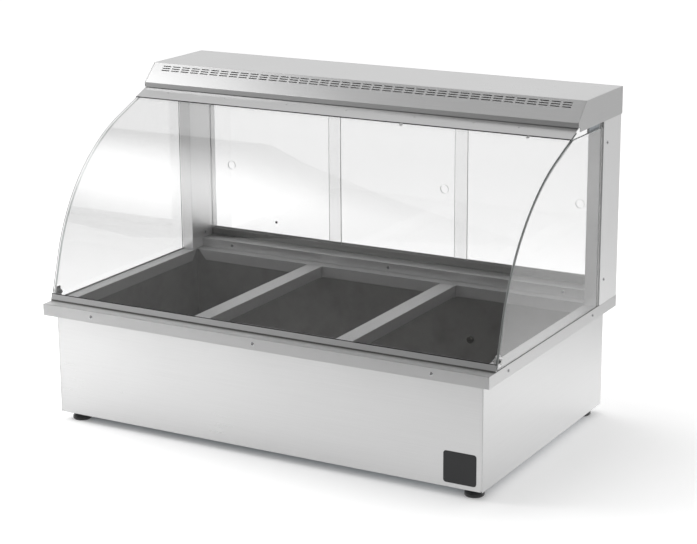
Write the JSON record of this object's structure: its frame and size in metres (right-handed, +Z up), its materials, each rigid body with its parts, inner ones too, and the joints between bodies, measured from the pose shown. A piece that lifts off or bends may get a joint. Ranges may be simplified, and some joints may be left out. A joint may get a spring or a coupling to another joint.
{
  "type": "heated food display case",
  "caption": "Countertop heated food case: a stainless hot well for food pans under a bent glass front, with glass sides, rear sliding doors and a vented lamp hood.",
  "frame": {"origin": "on the surface that the feet stand on, below the middle of the case's outline", "axes": "+X to the right of someone facing the glass, -Y towards the front glass, +Y towards the operator, +Z up"},
  "size_m": [1.0686, 0.644, 0.7265],
  "materials": {
    "brushed_steel": "brushed",
    "well_steel": "satin",
    "galvanised": "dull zinc coat",
    "zinc": "bright zinc plate",
    "clear_glass": "clear, polished edges",
    "black_rubber": "matt",
    "black_plastic": "fine texture",
    "red_plastic": "translucent gloss",
    "white_ceramic": "unglazed",
    "heater_sheath": "heat-darkened",
    "lamp_glass": "quartz tube"
  },
  "bodies": {
    "cabinet": {"canopy_end_left": "brushed_steel", "canopy_end_right": "brushed_steel", "canopy_hood": "brushed_steel", "cord_gland": "black_plastic", "deck_frame": "brushed_steel", "door_track_lower": "black_plastic", "door_track_upper": "black_plastic", "floor_pan": "galvanised", "front_glass": "clear_glass", "front_panel": "brushed_steel", "front_rail": "brushed_steel", "glass_strip": "brushed_steel", "heater_left": "heater_sheath", "heater_middle": "heater_sheath", "heater_right": "heater_sheath", "lamp_bracket_left": "galvanised", "lamp_bracket_middle": "galvanised", "lamp_bracket_right": "galvanised", "lamp_left": "lamp_glass", "lamp_middle": "lamp_glass", "lamp_right": "lamp_glass", "light_pan": "galvanised", "light_switch": "black_plastic", "pilot_lamp": "red_plastic", "post_left": "brushed_steel", "post_right": "brushed_steel", "power_switch": "black_plastic", "probe_gland": "zinc", "rail_bolt_left": "zinc", "rail_bolt_right": "zinc", "rail_gasket": "black_rubber", "rail_nut_left": "zinc", "rail_nut_right": "zinc", "rear_ledge": "brushed_steel", "rear_panel": "brushed_steel", "side_gasket_left": "black_rubber", "side_gasket_right": "black_rubber", "side_glass_left": "clear_glass", "side_glass_right": "clear_glass", "side_panel_left": "brushed_steel", "side_panel_right": "brushed_steel", "terminal_block": "black_plastic", "thermostat": "white_ceramic", "well_liner": "well_steel"},
    "door_left": {"door_left": "clear_glass"},
    "door_middle": {"door_middle": "clear_glass"},
    "door_right": {"door_right": "clear_glass"},
    "divider_left": {"divider_left": "brushed_steel"},
    "divider_right": {"divider_right": "brushed_steel"},
    "thermostat_knob": {"thermostat_knob": "black_plastic"},
    "power_rocker": {"power_rocker": "red_plastic"},
    "light_rocker": {"light_rocker": "black_plastic"},
    "foot_front_left": {"foot_front_left": "black_rubber", "stud_front_left": "zinc"},
    "foot_front_right": {"foot_front_right": "black_rubber", "stud_front_right": "zinc"},
    "foot_rear_left": {"foot_rear_left": "black_rubber", "stud_rear_left": "zinc"},
    "foot_rear_right": {"foot_rear_right": "black_rubber", "stud_rear_right": "zinc"}
  },
  "joints": [
    {"name": "door_left_slide", "type": "slide", "parent": "cabinet", "child": "door_left", "axis": [1, 0, 0], "range_m": [0, 0.6404]},
    {"name": "door_middle_slide", "type": "slide", "parent": "cabinet", "child": "door_middle", "axis": [1, 0, 0], "range_m": [-0.3202, 0.3202]},
    {"name": "door_right_slide", "type": "slide", "parent": "cabinet", "child": "door_right", "axis": [1, 0, 0], "range_m": [-0.6404, 0]},
    {"name": "divider_left_lift", "type": "slide", "parent": "cabinet", "child": "divider_left", "axis": [0, 0, 1], "range_m": [0, 0.025]},
    {"name": "divider_right_lift", "type": "slide", "parent": "cabinet", "child": "divider_right", "axis": [0, 0, 1], "range_m": [0, 0.025]},
    {"name": "thermostat_knob_turn", "type": "hinge", "parent": "cabinet", "child": "thermostat_knob", "pos_m": [-0.23, 0.301, 0.14], "axis": [0, -1, 0], "range_deg": [0, 270]},
    {"name": "power_rocker_tip", "type": "hinge", "parent": "cabinet", "child": "power_rocker", "pos_m": [-0.3, 0.3013, 0.14], "axis": [-1, 0, 0], "range_deg": [0, 18]},
    {"name": "light_rocker_tip", "type": "hinge", "parent": "cabinet", "child": "light_rocker", "pos_m": [-0.37, 0.3013, 0.14], "axis": [-1, 0, 0], "range_deg": [0, 18]},
    {"name": "foot_front_left_turn", "type": "hinge", "parent": "cabinet", "child": "foot_front_left", "pos_m": [-0.478, -0.27, 0], "axis": [0, 0, 1], "continuous": true},
    {"name": "foot_front_right_turn", "type": "hinge", "parent": "cabinet", "child": "foot_front_right", "pos_m": [0.478, -0.27, 0], "axis": [0, 0, 1], "continuous": true},
    {"name": "foot_rear_left_turn", "type": "hinge", "parent": "cabinet", "child": "foot_rear_left", "pos_m": [-0.478, 0.27, 0], "axis": [0, 0, 1], "continuous": true},
    {"name": "foot_rear_right_turn", "type": "hinge", "parent": "cabinet", "child": "foot_rear_right", "pos_m": [0.478, 0.27, 0], "axis": [0, 0, 1], "continuous": true}
  ]
}
